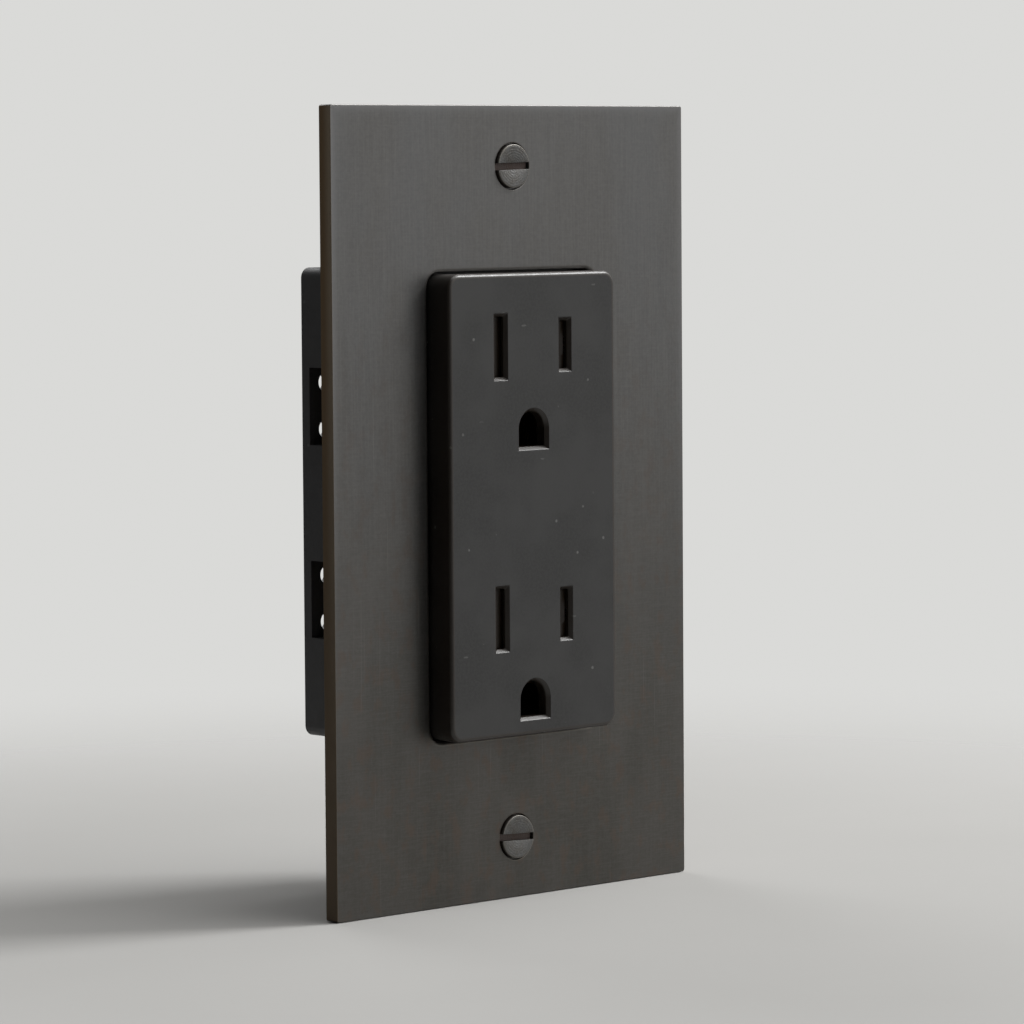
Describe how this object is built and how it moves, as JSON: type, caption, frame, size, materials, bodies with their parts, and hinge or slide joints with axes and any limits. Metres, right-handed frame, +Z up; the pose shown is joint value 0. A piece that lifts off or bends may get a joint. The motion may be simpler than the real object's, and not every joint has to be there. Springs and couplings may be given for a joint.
{
  "type": "duplex wall outlet",
  "caption": "Duplex receptacle with a raised rectangular face, shuttered blade slots and ground holes, yoke, clamp terminals and a flat metal wall plate.",
  "frame": {"origin": "centre of the wall plate's back rim, in the plane of the wall", "axes": "+X to the viewer's right, +Y into the wall, +Z up"},
  "size_m": [0.0698, 0.0318, 0.1142],
  "materials": {
    "plate_bronze": "dark oil-rubbed bronze, brushed upright, satin",
    "face_plastic": "dark grey satin moulded plastic",
    "shutter_plastic": "dark brown moulded plastic",
    "tray_plastic": "black moulded plastic",
    "housing_plastic": "dark grey moulded plastic, fine spark texture",
    "spring_steel": "bright drawn spring wire",
    "zinc_steel": "zinc-plated pressed steel",
    "nickel_steel": "nickel-plated steel",
    "contact_brass": "rolled brass strip",
    "green_steel": "green dyed plating",
    "retainer_board": "brown fibre board"
  },
  "bodies": {
    "device": {"wall_plate": "plate_bronze", "face_cover": "face_plastic", "shutter_tray_upper": "tray_plastic", "shutter_tray_lower": "tray_plastic", "shutter_spring_upper": "spring_steel", "shutter_spring_lower": "spring_steel", "mounting_strap": "zinc_steel", "screw_retainer_upper": "retainer_board", "screw_retainer_lower": "retainer_board", "back_housing": "housing_plastic", "assembly_screws": "zinc_steel", "neutral_bus": "contact_brass", "line_bus": "contact_brass", "ground_bus": "contact_brass", "ground_contact_upper": "contact_brass", "ground_contact_lower": "contact_brass", "contact_rivets": "contact_brass", "strap_rivets": "zinc_steel"},
    "shutter_upper": {"shutter_upper": "shutter_plastic"},
    "shutter_lower": {"shutter_lower": "shutter_plastic"},
    "neutral_clamp_upper": {"neutral_clamp_upper": "zinc_steel"},
    "neutral_screw_upper": {"neutral_screw_upper": "nickel_steel"},
    "neutral_clamp_lower": {"neutral_clamp_lower": "zinc_steel"},
    "neutral_screw_lower": {"neutral_screw_lower": "nickel_steel"},
    "line_clamp_upper": {"line_clamp_upper": "zinc_steel"},
    "line_screw_upper": {"line_screw_upper": "contact_brass"},
    "line_clamp_lower": {"line_clamp_lower": "zinc_steel"},
    "line_screw_lower": {"line_screw_lower": "contact_brass"},
    "plate_screw_upper": {"plate_screw_upper": "plate_bronze"},
    "plate_screw_lower": {"plate_screw_lower": "plate_bronze"},
    "mounting_screw_upper": {"mounting_screw_upper": "zinc_steel"},
    "mounting_screw_lower": {"mounting_screw_lower": "zinc_steel"},
    "ground_screw": {"ground_screw": "green_steel"}
  },
  "joints": [
    {"name": "shutter_upper_slide", "type": "slide", "parent": "device", "child": "shutter_upper", "axis": [1, 0, 0], "range_m": [0, 0.0033], "stiffness_N_per_m": 60, "springref_m": -0.002, "deforming": ["shutter_spring_upper"]},
    {"name": "shutter_lower_slide", "type": "slide", "parent": "device", "child": "shutter_lower", "axis": [1, 0, 0], "range_m": [0, 0.0033], "stiffness_N_per_m": 60, "springref_m": -0.002, "deforming": ["shutter_spring_lower"]},
    {"name": "neutral_clamp_upper_slide", "type": "slide", "parent": "device", "child": "neutral_clamp_upper", "axis": [-1, 0, 0], "range_m": [-0.0022, 0]},
    {"name": "neutral_screw_upper_turn", "type": "hinge", "parent": "neutral_clamp_upper", "child": "neutral_screw_upper", "pos_m": [-0.01832, 0.0105, 0.014], "axis": [-1, 0, 0], "range_deg": [-998, 0]},
    {"name": "neutral_clamp_lower_slide", "type": "slide", "parent": "device", "child": "neutral_clamp_lower", "axis": [-1, 0, 0], "range_m": [-0.0022, 0]},
    {"name": "neutral_screw_lower_turn", "type": "hinge", "parent": "neutral_clamp_lower", "child": "neutral_screw_lower", "pos_m": [-0.01832, 0.0105, -0.014], "axis": [-1, 0, 0], "range_deg": [-998, 0]},
    {"name": "line_clamp_upper_slide", "type": "slide", "parent": "device", "child": "line_clamp_upper", "axis": [1, 0, 0], "range_m": [-0.0022, 0]},
    {"name": "line_screw_upper_turn", "type": "hinge", "parent": "line_clamp_upper", "child": "line_screw_upper", "pos_m": [0.01832, 0.0105, 0.014], "axis": [1, 0, 0], "range_deg": [-998, 0]},
    {"name": "line_clamp_lower_slide", "type": "slide", "parent": "device", "child": "line_clamp_lower", "axis": [1, 0, 0], "range_m": [-0.0022, 0]},
    {"name": "line_screw_lower_turn", "type": "hinge", "parent": "line_clamp_lower", "child": "line_screw_lower", "pos_m": [0.01832, 0.0105, -0.014], "axis": [1, 0, 0], "range_deg": [-998, 0]},
    {"name": "plate_screw_upper_turn", "type": "hinge", "parent": "device", "child": "plate_screw_upper", "pos_m": [0, -0.0018, 0.04842], "axis": [0, -1, 0], "continuous": true},
    {"name": "plate_screw_lower_turn", "type": "hinge", "parent": "device", "child": "plate_screw_lower", "pos_m": [0, -0.0018, -0.04842], "axis": [0, -1, 0], "continuous": true},
    {"name": "mounting_screw_upper_turn", "type": "hinge", "parent": "device", "child": "mounting_screw_upper", "pos_m": [0, 0.0002, 0.04165], "axis": [0, -1, 0], "continuous": true},
    {"name": "mounting_screw_lower_turn", "type": "hinge", "parent": "device", "child": "mounting_screw_lower", "pos_m": [0, 0.0002, -0.04165], "axis": [0, -1, 0], "continuous": true},
    {"name": "ground_screw_turn", "type": "hinge", "parent": "device", "child": "ground_screw", "pos_m": [-0.01652, 0.007, -0.0416], "axis": [-1, 0, 0], "continuous": true}
  ],
  "couplings": [
    {"joint": "neutral_screw_upper_turn", "follows": "neutral_clamp_upper_slide", "rad_per_m": 7915.8},
    {"joint": "neutral_screw_lower_turn", "follows": "neutral_clamp_lower_slide", "rad_per_m": 7915.8},
    {"joint": "line_screw_upper_turn", "follows": "line_clamp_upper_slide", "rad_per_m": 7915.8},
    {"joint": "line_screw_lower_turn", "follows": "line_clamp_lower_slide", "rad_per_m": 7915.8}
  ]
}
